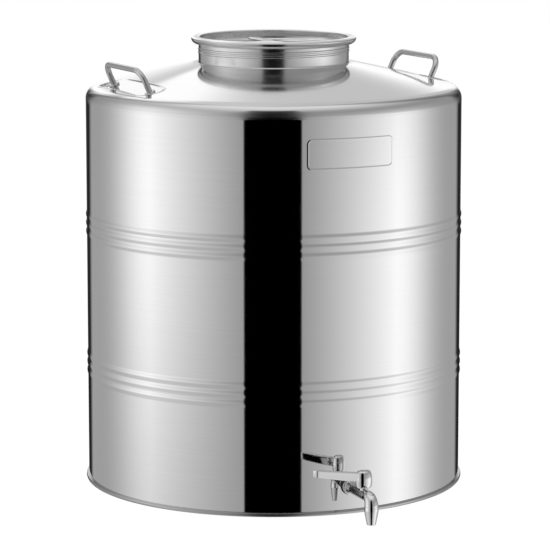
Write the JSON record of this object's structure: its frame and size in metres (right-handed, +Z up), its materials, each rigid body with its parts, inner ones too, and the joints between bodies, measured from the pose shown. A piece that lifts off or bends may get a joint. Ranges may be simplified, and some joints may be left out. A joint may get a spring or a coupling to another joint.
{
  "type": "stainless steel drum tank",
  "caption": "Polished steel drum tank with rolled beads, a shallow cone top with screw cap and carrying handles, and a lever tap at its foot.",
  "frame": {"origin": "centre of the standing face, on the tank's axis", "axes": "+Z up along the tank's axis, -Y out through the tap, X through both handles"},
  "size_m": [0.466, 0.5355, 0.5464],
  "materials": {
    "wall_steel": "mirror polished stainless steel",
    "dome_steel": "satin polished stainless steel",
    "cap_steel": "bright turned stainless steel",
    "handle_steel": "polished stainless steel rod",
    "tap_steel": "bright plated metal",
    "black_rubber": "matt black seal",
    "pale_rubber": "pale silicone seal",
    "white_plastic": "white valve seat"
  },
  "bodies": {
    "tank": {"tank_shell": "wall_steel", "base_ring": "wall_steel", "tank_dome": "dome_steel", "tank_bottom": "dome_steel", "handle_cup_left": "dome_steel", "handle_cup_right": "dome_steel", "neck_collar": "cap_steel", "handle_left": "handle_steel", "handle_right": "handle_steel", "handle_foot_collars": "handle_steel", "tap_body": "tap_steel", "tap_spout": "tap_steel", "tap_nozzle": "tap_steel", "tap_washer": "tap_steel", "tap_back_nut": "tap_steel", "gland_nut": "tap_steel", "tap_outer_gasket": "black_rubber", "tap_inner_gasket": "black_rubber", "valve_seats": "white_plastic"},
    "cap_seal": {"cap_gasket": "pale_rubber"},
    "cap": {"cap_skirt": "cap_steel", "cap_panel": "cap_steel", "cap_rim": "cap_steel", "cap_grip": "cap_steel"},
    "lever": {"tap_lever": "tap_steel", "lever_screw": "tap_steel", "valve_stem": "tap_steel", "stem_seals": "black_rubber", "valve_ball": "tap_steel"}
  },
  "joints": [
    {"name": "cap_lift", "type": "slide", "parent": "tank", "child": "cap_seal", "axis": [0, 0, 1], "range_m": [0, 0.00841]},
    {"name": "cap_turn", "type": "hinge", "parent": "cap_seal", "child": "cap", "pos_m": [0, 0, 0.513], "axis": [0, 0, 1], "range_deg": [0, 720]},
    {"name": "lever_turn", "type": "hinge", "parent": "tank", "child": "lever", "pos_m": [0, -0.2725, 0.0326], "axis": [0, 0, 1], "range_deg": [0, 90]}
  ],
  "couplings": [
    {"joint": "cap_lift", "follows": "cap_turn", "m_per_rad": 0.00066845}
  ]
}
